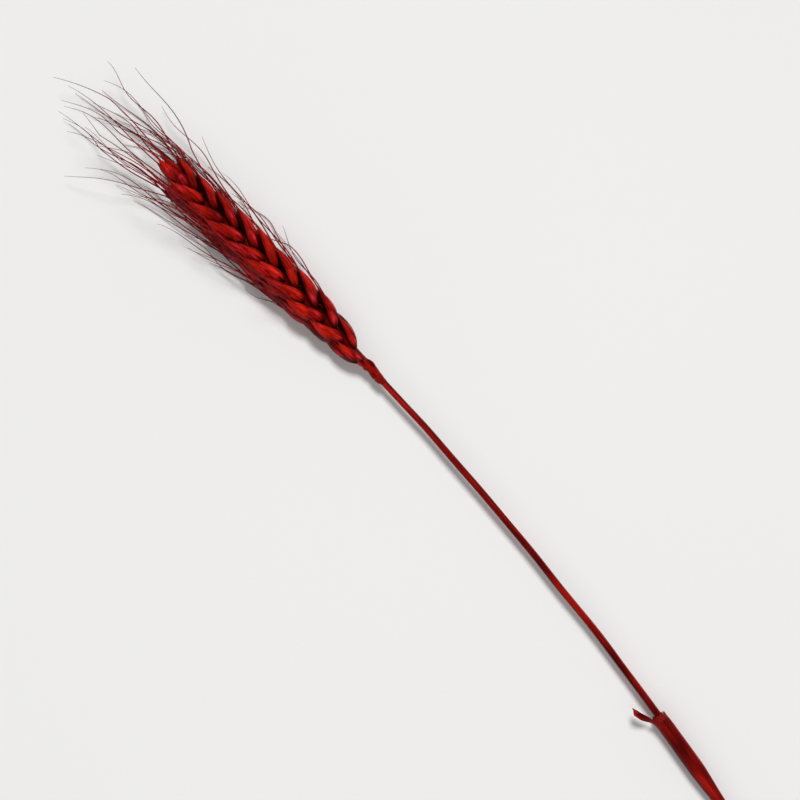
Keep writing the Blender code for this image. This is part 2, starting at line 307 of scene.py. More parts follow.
def streaked(tree, body, streaks, low, high, dark, light):
    # darkens the body colour where the streaks are below low, and lightens it above high
    shades = ((low, (dark, dark * 0.85, dark * 0.85)),
              ((low + high) / 2, (0.94, 0.92, 0.92)),
              (high, (light,) * 3))
    return blend(tree, "MULTIPLY", 1.0, body, ramp(tree, streaks, shades))


huskPaintLook = {
    "tones": ((0.0, (0.125, 0.0020, 0.0008)),
              (0.45, (0.340, 0.0060, 0.0020)),
              (1.0, (0.620, 0.0150, 0.0045))),
    "paintedHighlight": (0.880, 0.0280, 0.0520),  # painted pink highlight on some of the glossy backs
    "paintedHighlightMost": 0.75,
    # painted shade: near-black colour mixed into the gaps between the scales
    "creviceShade": (0.032, 0.0007, 0.0002),
    "creviceShadeMost": 0.92,
    "gloss": (1.0, 0.09, 0.12, 1.0),
    "glossLevel": 0.21,
    "roughness": 0.36,
    "roughnessSpan": (0.46, 0.26),
    "dustyFoot": 0.40,  # how much rougher it is down in the gaps
    "streaks": (2.2, 0.20),  # how many a millimetre, around and along, here and below
    "streakTones": (0.36, 0.64, 0.30, 1.40),
    "patches": (0.34, 0.20),
    "patchEdge": (0.50, 0.68),
    "nerves": (2.6, 0.10),
    "nerveRelief": (0.00045, 0.80),
    "pits": (1.0, 0.7),
    "pitRelief": (0.00050, 0.45),
}


def makeHuskPaint():
    look = huskPaintLook
    paint, tree = startPaint("dyedHusk", look)
    shade = readLook(tree, "shade")
    streaks = grainNoise(tree, look["streaks"], 4.0)
    patches = grainNoise(tree, look["patches"], 2.0)
    # painted highlight: pink on the ridge of some scale backs, carried by the pale look
    patches = remap(tree, patches, *look["patchEdge"], 0.0, look["paintedHighlightMost"])
    paintedHighlightHere = combine(tree, "MULTIPLY", patches, readLook(tree, "pale"))
    body = ramp(tree, readLook(tree, "tint"), look["tones"])
    body = blend(tree, "MIX", paintedHighlightHere, body, look["paintedHighlight"])
    body = streaked(tree, body, streaks, *look["streakTones"])
    # painted shade: each scale goes near-black at its foot, towards its edges and behind its rim
    paintedShade = remap(tree, shade, 0.0, 1.0, look["creviceShadeMost"], 0.0)
    body = blend(tree, "MIX", paintedShade, body, look["creviceShade"])
    dull = combine(tree, "ADD", remap(tree, streaks, 0.3, 0.7, *look["roughnessSpan"]),
                   remap(tree, shade, 0.0, 0.6, look["dustyFoot"], 0.0))
    nerves = bumpFrom(tree, grainNoise(tree, look["nerves"], 2.0), look["nerveRelief"])
    pits = bumpFrom(tree, grainNoise(tree, look["pits"]), look["pitRelief"], nerves)
    return finishPaint(paint, body, dull, pits)


awnPaintLook = {
    "tones": ((0.0, (0.280, 0.0060, 0.0035)), (1.0, (0.110, 0.0030, 0.0040))),
    "gloss": (1.0, 0.30, 0.40, 1.0),
    "glossLevel": 0.45,
    "roughness": 0.42,
    "mottle": (0.8, 0.8),
    "mottleTones": (0.30, 0.70, 0.5, 1.3),
}


def makeAwnPaint():
    look = awnPaintLook
    paint, tree = startPaint("dyedAwn", look)
    body = ramp(tree, readLook(tree, "shade"), look["tones"])
    body = streaked(tree, body, grainNoise(tree, look["mottle"], 2.0), *look["mottleTones"])
    return finishPaint(paint, body)


strawPaintLook = {
    "tones": ((0.34, (0.065, 0.0012, 0.0005)),
              (0.50, (0.220, 0.0042, 0.0012)),
              (0.66, (0.460, 0.0105, 0.0040))),
    # the joints' own dark colour, which also paints the shade down the bore
    "joint": (0.045, 0.0016, 0.0012),
    "jointAndBoreShadeMost": 0.95,
    "undyed": (0.880, 0.1150, 0.1600),  # where the dye hardly took
    "undyedSpan": (0.08, 1.0),
    "gloss": (1.0, 0.12, 0.24, 1.0),
    "glossLevel": 0.20,
    "roughness": 0.28,
    "roughnessSpan": (0.40, 0.18),
    "fibres": (2.0, 0.020),
    "fibreTones": (0.36, 0.64, 0.36, 1.30),
    "clouds": (0.30, 0.045),
    "flecks": (1.5, 0.45),
    "fleckTones": (0.30, 0.46, 0.55, 1.05),
    "fleckRelief": (0.00015, 0.35),
    "ribs": (6.0, 0.030),
    "ribRelief": (0.00012, 0.6),
}


def makeStrawPaint():
    look = strawPaintLook
    paint, tree = startPaint("dyedStraw", look)
    fibres = grainNoise(tree, look["fibres"], 4.0)
    flecks = grainNoise(tree, look["flecks"])
    body = ramp(tree, grainNoise(tree, look["clouds"]), look["tones"])
    body = streaked(tree, body, fibres, *look["fibreTones"])
    body = streaked(tree, body, flecks, *look["fleckTones"])
    # the shade look darkens towards the joint colour: the real dark joints, and painted shade down the
    # bore
    jointDarkAndBoreShade = remap(tree, readLook(tree, "shade"), 0.0, 1.0, look["jointAndBoreShadeMost"], 0.0)
    body = blend(tree, "MIX", jointDarkAndBoreShade, body, look["joint"])
    undyed = remap(tree, fibres, 0.38, 0.60, *look["undyedSpan"])
    undyed = combine(tree, "MULTIPLY", readLook(tree, "pale"), undyed)
    body = blend(tree, "MIX", undyed, body, look["undyed"])
    dull = remap(tree, fibres, 0.3, 0.7, *look["roughnessSpan"])
    ribs = bumpFrom(tree, grainNoise(tree, look["ribs"], 2.0), look["ribRelief"])
    return finishPaint(paint, body, dull, bumpFrom(tree, flecks, look["fleckRelief"], ribs))


leafPaintLook = {
    "tones": ((0.34, (0.070, 0.0016, 0.0010)),
              (0.52, (0.190, 0.0040, 0.0024)),
              (0.68, (0.400, 0.0095, 0.0060))),
    "edge": (0.420, 0.0260, 0.0200),
    "shades": ((0.0, (0.10, 0.10, 0.10)), (1.0, (1.0, 1.0, 1.0))),
    "gloss": (1.0, 0.18, 0.24, 1.0),
    "glossLevel": 0.12,
    "roughness": 0.46,
    "roughnessSpan": (0.56, 0.34),
    "ribs": (3.0, 0.020),
    "ribTones": (0.36, 0.64, 0.34, 1.40),
    "clouds": (0.28, 0.045),
    "veins": (4.5, 0.015),
    "veinRelief": (0.00020, 0.85),
}


def makeLeafPaint():
    look = leafPaintLook
    paint, tree = startPaint("dyedLeaf", look)
    ribs = grainNoise(tree, look["ribs"])
    body = ramp(tree, grainNoise(tree, look["clouds"]), look["tones"])
    body = streaked(tree, body, ribs, *look["ribTones"])
    body = blend(tree, "MIX", readLook(tree, "pale"), body, look["edge"])
    body = blend(tree, "MULTIPLY", 1.0, body, ramp(tree, readLook(tree, "shade"), look["shades"]))
    dull = remap(tree, ribs, 0.3, 0.7, *look["roughnessSpan"])
    veins = bumpFrom(tree, grainNoise(tree, look["veins"], 2.0), look["veinRelief"])
    return finishPaint(paint, body, dull, veins)


huskPaint = makeHuskPaint()
awnPaint = makeAwnPaint()
strawPaint = makeStrawPaint()
leafPaint = makeLeafPaint()
print("paints mixed")


# the ear: nineteen spikelets in two rows

ear = {
    "spikelets": 18,  # besides the one at the tip
    "firstSpikelet": 0.0092,
    "rachisStep": 0.0042,
    "lastStep": 0.0024,
    "roll": math.radians(16),
    "twist": math.radians(14),
    "lean": ((0.0, 9.0), (0.2, 13.0), (0.7, 13.0), (1.0, 10.0)),
    "leanDraw": (0.88, 1.12),
    "sizeDraw": (0.96, 1.04),
    "foot": 0.0008,
    "fullness": ((0.0, 0.68), (0.15, 0.88), (0.4, 1.0), (0.75, 0.94), (1.0, 0.78)),
    "tilt": 2.5,  # how many degrees a scale sits askew at most
    "tipGather": 0.45,  # the last spikelet's scales stand closer together
    "tipStagger": 0.0016,  # and end unevenly
    "heartReach": 0.0140,  # the inner floret reaches past the foot of the next spikelet up
    "arch": 0.10,
    "bellyShare": 0.55,
    "pressTo": 0.00005,  # scales underneath are pressed to the table
    "pressSoftness": 0.00010,
    "tintDraw": (0.12, 1.0),
    "seedDraw": (0, 40),
    "shapeSeed": 100,  # the solids' own draws
    "finishSeed": 700,
}

# where each scale's foot sits, how it fans and faces in degrees, and its size
scales = {
    "glume": dict(across=0.00190, outward=-0.00020, along=-0.0002, fan=9.0, facing=66.0,
                  length=0.0078, width=0.0033, depth=0.0022, lift=0.0009),
    "sideLemma": dict(across=0.00150, outward=0.00085, along=0.0017, fan=9.0, facing=56.0,
                      length=0.0122, width=0.0040, depth=0.0030, lift=0.0003),
    "upperLemma": dict(across=0.00092, outward=0.00115, along=0.0043, fan=4.0, facing=38.0,
                       length=0.0096, width=0.0034, depth=0.0026, lift=0.0003),
    "middleLemma": dict(across=0.0, outward=0.00135, along=0.0034, fan=0.0, facing=0.0,
                        length=0.0109, width=0.0039, depth=0.0029, lift=0.0003),
    "heart": dict(across=0.0, outward=0.00060, along=0.0004, fan=0.0, facing=0.0,
                  length=0.0128, width=0.0054, depth=0.0046, lift=0.0),
    "empty": dict(across=0.0, outward=0.00050, along=-0.0004, fan=0.0, facing=0.0,
                  length=0.0058, width=0.0029, depth=0.0016, lift=-0.0002),
}

# the scales of a spikelet in the order that they are laid, and the side that each is on
spikeletPlan = (("glume", 1), ("glume", -1), ("sideLemma", 1), ("sideLemma", -1),
                ("upperLemma", 1), ("upperLemma", -1), ("middleLemma", 1), ("heart", 1))

# how each kind is finished: rings and steps, its outline's powers at foot and tip, keel, nerves,
# rim, the step down behind the rim, and where the painted shade of the gap below it ends
scaleFinish = {
    "glume": dict(rings=15, back=26, belly=6, outline=(0.50, 0.55), keel=(0.30, 14.0, 12.0),
                  nerves=(6, 0.034), rim=0.06, step=0.14, wrinkle=0.08, beak=0.0020, gapShadeTo=0.36),
    "lemma": dict(rings=16, back=26, belly=8, outline=(0.52, 0.88), keel=(0.10, 0.0, 15.0),
                  nerves=(6, 0.036), rim=0.07, step=0.22, wrinkle=0.08, beak=0.0006, gapShadeTo=0.52),
    "plain": dict(rings=9, back=12, belly=4, outline=(0.50, 0.66), keel=(0.08, 0.0, 20.0),
                  nerves=(3, 0.03), rim=0.05, step=0.10, wrinkle=0.08, beak=0.0004, gapShadeTo=0.30),
    "empty": dict(rings=12, back=20, belly=6, outline=(1.15, 0.80), keel=(0.12, 8.0, 16.0),
                  nerves=(4, 0.03), rim=0.06, step=0.10, wrinkle=0.06, beak=0.0006, gapShadeTo=0.22),
}

# a scale's section in degrees: where back and belly start and how far they run, and its rim
scaleTurns = dict(back=(-14, 208), belly=(199, 142), rim=(101.0, 7.0))

# painted shade and highlight: how the light falls off from the middle of a scale's back towards its
# edges, behind the rim and at the tip, how much lighter the keel is, and where its painted highlight and
# its beak lie
scaleTone = dict(edge=0.12, edgePower=0.7, belly=0.20, keel=0.6, tip=0.9,
                 highlightOut=(0.35, 0.95), highlightSpan=(0.48, 0.26), beakFrom=0.85)

awns = {
    "length": ((0.0, 0.034), (0.5, 0.043), (1.0, 0.038)),
    "sink": 0.0022,
    "turn": 0.22,
    "rest": 0.00045,
    "softness": 0.00060,
    "footRadius": 0.00026,
    "tipRadius": 0.00005,
    "taper": 0.80,
    "steps": 28,
    "sides": 5,
    "wave": (0.0005, 0.0022),
    "waveTurns": (0.5, 1.6),
    "bow": (0.02, 0.12),  # how far an awn arches over its length
    "kinkShare": 0.38,
    "kinkAt": (0.30, 0.80),
    "kinkAngle": (8.0, 30.0),
    "finest": 0.80,  # the thinnest awn beside the thickest
}

# how far the awns' ends fall over to one side, neighbours alike
sweep = dict(most=0.15, way=(0.0, -1.0, 0.0), middle=0.6, seed=6.0, pitch=0.0035, power=3.0)

# root is a share of the awn's radius
barbs = dict(spacing=0.0010, until=0.94, length=0.00042, thinning=0.5, width=0.00012,
             root=0.6, ahead=0.85, out=0.42)

# which florets carry an awn, how far it swings outwards and sideways, and how long it is
awnKinds = {
    "sideLemma": dict(outward=0.07, outwardDraw=(-0.08, 0.11),
                      sideways=0.05, sidewaysDraw=(-0.10, 0.10), lengthDraw=(0.88, 1.10)),
    "middleLemma": dict(share=0.95, outward=0.0, outwardDraw=(0.00, 0.17),
                        sideways=0.0, sidewaysDraw=(-0.11, 0.11), lengthDraw=(0.70, 1.0)),
    "upperLemma": dict(share=0.80, outward=0.0, outwardDraw=(-0.16, 0.06),
                       sideways=0.06, sidewaysDraw=(-0.06, 0.06), lengthDraw=(0.62, 0.95)),
}


def earAxes(s):
    across, up, along = stalkAxes(s)
    twist = ear["twist"] * (s - stalk["strawLength"]) / stalk["earLength"]
    turn = Matrix.Rotation(ear["roll"] + twist, 3, along)
    return turn @ across, turn @ up, along


def scalePlace(foot, across, outward, along, facing):
    # a scale's back turns from outward towards across by the facing angle
    back = swung(outward, across, facing).normalized()
    back = (back - along * back.dot(along)).normalized()
    place = Matrix((back.cross(along), back, along)).transposed().to_4x4()
    place.translation = foot
    return place


def softRest(point, rest, softness):
    # lifts what would sink under the table just clear of it
    depth = (point.z - rest) / softness
    soft = softness * math.log1p(math.exp(depth)) if depth < 30 else point.z - rest
    return Vector((point.x, point.y, rest + soft))


def pressed(point):
    return softRest(point, ear["pressTo"], ear["pressSoftness"])


def scaleSection(finish):
    # angles round a scale in degrees, and whether each is on the back or behind the rim
    section = []
    for side in ("back", "belly"):
        steps, (start, span) = finish[side], scaleTurns[side]
        section += [(math.radians(start + span * k / steps), side == "back") for k in range(steps + 1)]
    return section


def scaleOutline(t, foot, tip):
    widest = foot / (foot + tip)
    return t ** foot * (1 - t) ** tip / (widest ** foot * (1 - widest) ** tip)


def backRelief(finish, angle, t):
    # keel and nerves, which fade towards both ends, and a rim along both edges
    fromMiddle = math.degrees(angle) - 90
    count, depth = finish["nerves"]
    fade = math.sin(math.pi * t) ** 0.5
    nerves = depth * math.cos(2 * count * math.radians(fromMiddle)) * fade
    rim = finish["rim"] * hump(abs(fromMiddle), *scaleTurns["rim"])
    return swelling(fromMiddle, *finish["keel"]), nerves + rim


def scaleRelief(finish, angle, onBack, t, seed):
    # how full and how keeled a scale is at one angle, and how much painted shade it takes there
    out = math.sin(angle)
    wrinkle = roughness(seed, math.cos(angle) * 1.5, out * 1.5 + t * 0.8, t * 3.6)
    swell = 1.0 + finish["wrinkle"] * wrinkle
    if not onBack:
        return swell - finish["step"], 0.0, scaleTone["belly"] * easeIn(t, 0.1, 0.6)
    ridge, relief = backRelief(finish, angle, t)
    middle = scaleTone["edge"] + (1 - scaleTone["edge"]) * max(out, 0.0) ** scaleTone["edgePower"]
    shade = easeIn(t, 0.02, finish["gapShadeTo"]) * middle
    return swell + relief, ridge, min(1.0, shade + scaleTone["keel"] * ridge)


def addScaleRing(skin, place, scale, size, finish, tint, seed, t):
    length, width, depth = scale["length"] * size, scale["width"] * size, scale["depth"] * size
    share = scaleOutline(t, *finish["outline"])
    arch = ear["arch"] * length * math.sin(math.pi * t) / 2 + scale["lift"] * size * t * t
    beakShare = (t - scaleTone["beakFrom"]) / (1 - scaleTone["beakFrom"])
    z = t * length + finish["beak"] * max(0.0, beakShare) ** 2
    row = []
    for angle, onBack in scaleSection(finish):
        out = math.sin(angle)
        swell, ridge, shade = scaleRelief(finish, angle, onBack, t, seed)
        half = depth / 2 if out > 0 else depth / 2 * ear["bellyShare"]
        x = math.cos(angle) * share * width / 2 * swell
        y = out * share * half * (swell + ridge) + arch
        # each scale reads the paint's noise at its own place
        grain = (math.cos(angle) * width * 500 + seed * 7.3, out * width * 500 + seed * 3.1, z * 1000)
        # painted highlight along the middle of the outward-facing back
        paintedHighlight = easeIn(out, *scaleTone["highlightOut"]) * hump(t, *scaleTone["highlightSpan"])
        row.append(skin.point(pressed(place @ Vector((x, y, z))), grain, tint, shade, paintedHighlight))
    return row


def addScale(skin, place, scale, size, kind, tint, seed):
    # one husk scale: a full ribbed back, a rim over the inner scale, drawn out to a beak
    finish = scaleFinish[kind]
    rows = []
    for ring in range(1, finish["rings"]):
        t = 0.5 - 0.5 * math.cos(math.pi * ring / finish["rings"])
        rows.append(addScaleRing(skin, place, scale, size, finish, tint, seed, t))
    skin.loft(rows)
    skin.fan(rows[0], skin.point(pressed(place.translation), (0, 0, seed), tint, 0.0), flip=True)
    tipPoint = place @ Vector((0, scale["lift"] * size, scale["length"] * size + finish["beak"]))
    skin.fan(rows[-1], skin.point(pressed(tipPoint), (0, 0, seed), tint, scaleTone["tip"]))
    return tipPoint


def addTube(skin, path, radii, sides, tint):
    # a tube along a path, shaded from its root (0) to its tip (1)
    rows = []
    side = (path[1] - path[0]).orthogonal().normalized()
    for k, (place, radius) in enumerate(zip(path, radii)):
        ahead = (path[min(k + 1, len(path) - 1)] - path[max(k - 1, 0)]).normalized()
        side = (side - ahead * side.dot(ahead)).normalized()
        other = ahead.cross(side)
        row = []
        for turn in ringTurns(sides):
            edge = place + swung(side, other, turn) * radius
            row.append(skin.point(edge, edge * 1000, tint, k / (len(path) - 1)))
        rows.append(row)
    skin.loft(rows)
    skin.fan(rows[0], skin.point(path[0], path[0] * 1000, tint, 0.0), flip=True)
    skin.fan(rows[-1], skin.point(path[-1], path[-1] * 1000, tint, 1.0))


def addBarbs(skin, path, radii, length, tint, whim):
    count = int(length / barbs["spacing"])
    for b in range(count):
        u = (b + whim.random()) / count * barbs["until"]
        k = int(u * awns["steps"])
        at = path[k].lerp(path[k + 1], u * awns["steps"] - k)
        ahead = (path[k + 1] - path[k]).normalized()
        side = ahead.orthogonal().normalized()
        out = swung(side, ahead.cross(side), whim.uniform(0, fullTurn))
        reach = barbs["length"] * (1 - barbs["thinning"] * u)
        base = at + out * radii[k] * barbs["root"]
        tip = base + ahead * reach * barbs["ahead"] + out * reach * barbs["out"]
        skin.spike(base, tip, barbs["width"], out, u, tint)


def drawAwnBends(endWay, length, whim):
    # one awn's waves, the kink that some have, how fine it is, and its arch
    one = endWay.orthogonal().normalized()
    two = endWay.cross(one)
    waves = []
    for way in (one, two):
        height = whim.uniform(*awns["wave"]) * whim.choice((-1, 1))
        waves.append((way, height, whim.uniform(*awns["waveTurns"]), whim.uniform(0, fullTurn)))
    noKink = 2.0  # a place past the tip
    kinkAt = whim.uniform(*awns["kinkAt"]) if whim.random() < awns["kinkShare"] else noKink
    kinkWay = swung(one, two, whim.uniform(0, fullTurn))
    kinkWay *= math.tan(math.radians(whim.uniform(*awns["kinkAngle"])))
    fineness = whim.uniform(awns["finest"], 1.0)
    bowWay = swung(one, two, whim.uniform(0, fullTurn)) * whim.uniform(*awns["bow"]) * length
    return waves, kinkAt, kinkWay, fineness, bowWay


def addAwn(skin, root, startWay, endWay, length, whim):
    # a bristle that leaves along its lemma, swings round to its own way and falls over at its end
    waves, kinkAt, kinkWay, fineness, bowWay = drawAwnBends(endWay, length, whim)
    nearby = roughness(sweep["seed"], root.x / sweep["pitch"], root.y / sweep["pitch"])
    sweepWay = Vector(sweep["way"]) * sweep["most"] * (sweep["middle"] + nearby) * length
    path, radii = [], []
    for k in range(awns["steps"] + 1):
        u = k / awns["steps"]
        swing = awns["turn"] * (1 - math.exp(-u / awns["turn"]))
        place = root + (endWay * u + (startWay - endWay) * swing) * length
        for way, height, turns, phase in waves:
            place += way * height * (math.sin(fullTurn * turns * u + phase) - math.sin(phase)) * u
        kink = kinkWay * max(0.0, u - kinkAt) * length
        place += kink + bowWay * u * u + sweepWay * u ** sweep["power"]
        path.append(softRest(place, awns["rest"], awns["softness"]))
        stout = (1 - u) ** awns["taper"]
        radii.append((awns["tipRadius"] + (awns["footRadius"] - awns["tipRadius"]) * stout) * fineness)
    tint = whim.random()
    addTube(skin, path, radii, awns["sides"], tint)
    addBarbs(skin, path, radii, length, tint, whim)


def spikeletAt(number):
    # foot, ways and size of one spikelet; the draws are the solids' own, in their order
    draw = random.Random(ear["shapeSeed"] + number)
    terminal = number == ear["spikelets"]
    distance = stalk["strawLength"] + ear["firstSpikelet"] + number * ear["rachisStep"]
    if terminal:
        distance += ear["lastStep"] - ear["rachisStep"]
    share = number / ear["spikelets"]
    across, up, along = earAxes(distance)
    row = up if terminal else across * (1 if number % 2 == 0 else -1)
    lean = 0.0
    if not terminal:
        lean = math.radians(valueAt(ear["lean"], share)) * draw.uniform(*ear["leanDraw"])
    return {
        "draw": draw,
        "share": share,
        "along": along,
        "row": row,
        "fan": across if terminal else up,
        "size": valueAt(ear["fullness"], share) * draw.uniform(*ear["sizeDraw"]),
        "gather": ear["tipGather"] if terminal else 1.0,
        "followed": number < ear["spikelets"] - 2,
        "axis": swung(along, row, lean),
        "outward": swung(row, -along, lean),
        "foot": stalkPoint(distance) + row * ear["foot"] * (0 if terminal else 1),
    }


def awnPlan(spikelet, kind, sign, whim):
    # which way a floret's awn swings and how long it is; the side florets' are the solids' own
    plan = awnKinds.get(kind)
    draw = spikelet["draw"] if kind == "sideLemma" else whim
    if plan is None or (draw is whim and whim.random() >= plan["share"]):
        return None
    swing = spikelet["row"] * (plan["outward"] + draw.uniform(*plan["outwardDraw"]))
    swing += spikelet["fan"] * (plan["sideways"] * sign + draw.uniform(*plan["sidewaysDraw"]))
    return swing, valueAt(awns["length"], spikelet["share"]) * draw.uniform(*plan["lengthDraw"])


def scaleStand(spikelet, kind, sign, whim):
    # where one scale of a spikelet stands, the way it grows, and its sizes
    axis, fan, outward, size = (spikelet[key] for key in ("axis", "fan", "outward", "size"))
    scale = dict(scales[kind])
    if kind == "heart" and spikelet["followed"]:
        scale["length"] = max(scale["length"], ear["heartReach"] / size)
    angle = math.radians(scale["fan"]) * sign * spikelet["gather"]
    grow = swung(axis, fan, angle)
    spread = swung(fan, -axis, angle)
    aside = fan * scale["across"] * sign * spikelet["gather"]
    base = spikelet["foot"] + (aside + outward * scale["outward"] + axis * scale["along"]) * size
    if spikelet["gather"] < 1:
        base += axis * whim.uniform(-1, 1) * ear["tipStagger"]
    askew = Matrix.Rotation(math.radians(whim.uniform(-ear["tilt"], ear["tilt"])), 4, "Y")
    place = scalePlace(base, spread, outward, grow, math.radians(scale["facing"]) * sign) @ askew
    return place, grow, scale


def addSpikelet(number, glumes, florets, bristles):
    spikelet = spikeletAt(number)
    whim = random.Random(ear["finishSeed"] + number)
    for kind, sign in spikeletPlan:
        place, grow, scale = scaleStand(spikelet, kind, sign, whim)
        skin = glumes if kind == "glume" else florets
        finish = {"glume": "glume", "heart": "plain"}.get(kind, "lemma")
        # the heart, deep among the other scales, takes the deepest tone as painted shade
        tint = 0.0 if kind == "heart" else whim.uniform(*ear["tintDraw"])
        seed = whim.uniform(*ear["seedDraw"])
        tipPoint = addScale(skin, place, scale, spikelet["size"], finish, tint, seed)
        awn = awnPlan(spikelet, kind, sign, whim)
        if awn:
            swing, reach = awn
            root = tipPoint - grow * awns["sink"] / 2
            endWay = (spikelet["along"] + swing).normalized()
            addAwn(bristles, root, grow, endWay, reach - awns["sink"] / 2, whim)


def makeEar():
    glumes, florets, bristles = Skin(), Skin(), Skin()
    for number in range(ear["spikelets"] + 1):
        addSpikelet(number, glumes, florets, bristles)
    glumes.piece("earGlumes", huskPaint, "red_husk", ["ear"])
    florets.piece("earFlorets", huskPaint, "red_husk", ["ear"])
    bristles.piece("earAwns", awnPaint, "red_husk", ["ear"])


makeEar()
print("ear grown")


# the rachis: the core between the rows, painted dark inside the ear as shade, and the neck with its
# empty scales

rachis = {
    "core": ((0.0, 0.00090), (0.0012, 0.00112), (0.006, 0.00125), (0.014, 0.0014), (0.039, 0.0017),
             (0.069, 0.0015), (0.0875, 0.0006)),
    "seat": 0.0006,  # how far it reaches down into the straw's top
    "length": 0.0875,
    "tipLength": 0.0003,
    "rings": 90,
    "sides": 18,
    "collar": (0.00022, 0.0014, 0.0011),
    "neckWave": (0.00034, 0.0060),  # how high and how long
    "neckSpan": (0.0, 0.0020, 0.0060, 0.010),
    "knobs": (0.0026, 0.0050, 0.0072),  # small swellings where the empty scales sit
    "knobSwell": (0.00034, 0.0, 0.0006),
    "lumps": (0.09, 300),  # how high, and how many a metre
    "tint": 0.35,
    "neckShade": 0.95,
    "coreShadeDepth": 0.75,  # painted shade: how much darker it gets inside the ear, and where
    "coreShadeSpan": (0.008, 0.013),
}

# the empty scales up the neck: place, side, size
emptyScales = ((0.0012, 1, 0.80), (0.0036, -1, 1.00), (0.0062, 1, 1.20))
emptyLook = dict(lean=math.radians(3.5), tint=0.45, seed=3.0)

# the short hairs at every step of the rachis
beard = dict(seed=41, perStep=26, length=(0.0006, 0.0013), width=0.00006, lean=0.6, look=(0.4, 0.4),
             band=0.0010,  # how far up and down from a spikelet's foot they grow
             root=0.85)  # share of the core's radius where they start


def neckCentre(reach):
    s = stalk["strawLength"] + reach
    high, pitch = rachis["neckWave"]
    wave = high * math.sin(fullTurn * reach / pitch) * plateau(reach, *rachis["neckSpan"])
    return stalkPoint(s) + earAxes(s)[0] * wave


def rachisRadius(reach):
    radius = valueAt(rachis["core"], max(reach, 0.0)) + swelling(reach, *rachis["collar"])
    return radius + sum(swelling(reach - knob, *rachis["knobSwell"]) for knob in rachis["knobs"])


def addCore(skin):
    high, perMetre = rachis["lumps"]
    rows = []
    for k in range(rachis["rings"] + 1):
        reach = rachis["length"] * k / rachis["rings"] - rachis["seat"]
        across, up = earAxes(stalk["strawLength"] + reach)[:2]
        radius, centre = rachisRadius(reach), neckCentre(reach)
        shade = rachis["neckShade"] - rachis["coreShadeDepth"] * easeIn(reach, *rachis["coreShadeSpan"])
        row = []
        for turn in ringTurns(rachis["sides"]):
            lump = high * roughness(0.0, math.cos(turn), math.sin(turn), reach * perMetre)
            place = centre + swung(across, up, turn) * (radius * (1 + lump))
            row.append(skin.point(place, ringGrain(reach, turn), rachis["tint"], shade))
        rows.append(row)
    skin.loft(rows)
    tip = neckCentre(rachis["length"] - rachis["seat"] + rachis["tipLength"])
    skin.fan(rows[0], skin.point(neckCentre(-rachis["seat"])), flip=True)
    skin.fan(rows[-1], skin.point(tip, shade=0.0))


def makeRachis():
    skin = Skin()
    addCore(skin)
    for number, (reach, side, size) in enumerate(emptyScales):
        across, up, along = earAxes(stalk["strawLength"] + reach)
        row = across * side
        grow = swung(along, row, emptyLook["lean"])
        place = scalePlace(neckCentre(reach) + row * scales["empty"]["outward"], up, row, grow, 0.0)
        seed = emptyLook["seed"] + number
        addScale(skin, place, scales["empty"], size, "empty", emptyLook["tint"], seed)
    skin.piece("earRachis", huskPaint, "red_husk", ["ear"])


def makeBeard():
    hairs = Skin()
    whim = random.Random(beard["seed"])
    for number in range(ear["spikelets"]):
        reach = ear["firstSpikelet"] + number * ear["rachisStep"]
        across, up, along = earAxes(stalk["strawLength"] + reach)
        for hair in range(beard["perStep"]):
            out = swung(up, across, whim.uniform(0, fullTurn))
            at = reach + whim.uniform(-1, 1) * beard["band"]
            root = neckCentre(at) + out * valueAt(rachis["core"], at) * beard["root"]
            tip = root + (out * beard["lean"] + along).normalized() * whim.uniform(*beard["length"])
            hairs.spike(pressed(root), pressed(tip), beard["width"], along.cross(out), *beard["look"])
    hairs.piece("rachisHairs", awnPaint, "red_husk", ["ear"])


makeRachis()
makeBeard()
print("rachis set")


# the straw: ribbed, with swollen dark joints and a hollow cut end

straw = {
    "ringStep": 0.0016,
    "jointStep": 0.0004,
    "fineNear": 0.007,  # finer rings this close to a joint
    "fineAtCut": 0.002,
    "sides": 32,
    "wall": 0.00050,
    "boreRings": (0.0, 0.0004, 0.004, 0.012, 0.024, 0.044),
    "boreEven": 0.03,  # the bore is even from here on
    "ribs": 8,
    "ribDepth": 0.016,
    "oval": 0.030,
    "ovalDrift": 9,  # radians a metre
    "unevenness": 0.050,
    "unevenFineness": (0.6, 70),
    "cutSlant": (0.0006, 0.6, 0.003),  # how much, which way round, and how far up it reaches
    "cutRim": 0.001,
    "cutLook": (1.0, 0.75),  # shade and paleness at the cut, and down the bore, where the shade is painted
    "boreLook": (0.3, 0.1),
    "boreEndShade": 0.2,
    "pinch": (0.00013, 0.0042, 0.0008),
    "jointDark": (0.85, 0.0, 0.0024),
    "grainSpread": 1.6,
    "paleBelow": (0.002, 0.004, 0.0096, 0.024),  # the paler stretch under each joint
    "paleMost": 0.85,
}

# a thin undyed streak on the bare straw
streak = dict(span=(0.36, 0.37, 0.42, 0.43), turn=1.25, drift=4, width=0.13, most=0.7)


def strawPlaces():
    places, s = [], 0.0
    while s < stalk["strawLength"] + rachis["seat"]:
        places.append(s)
        near = min(abs(s - joint) for joint in stalk["joints"])
        fine = near < straw["fineNear"] or s < straw["fineAtCut"]
        s += straw["jointStep"] if fine else straw["ringStep"]
    return places


def paleUnderJoint(s):
    return straw["paleMost"] * max(plateau(joint - s, *straw["paleBelow"]) for joint in stalk["joints"])


def strawPoint(s, turn, radius):
    # a place on a ring of the straw, with the cut end a little aslant
    much, way, reach = straw["cutSlant"]
    slant = much * math.cos(turn - way) * (1 - easeIn(s, 0.0, reach))
    return ringPoint(s, turn, radius) + stalkAxes(s)[2] * max(slant, -s)


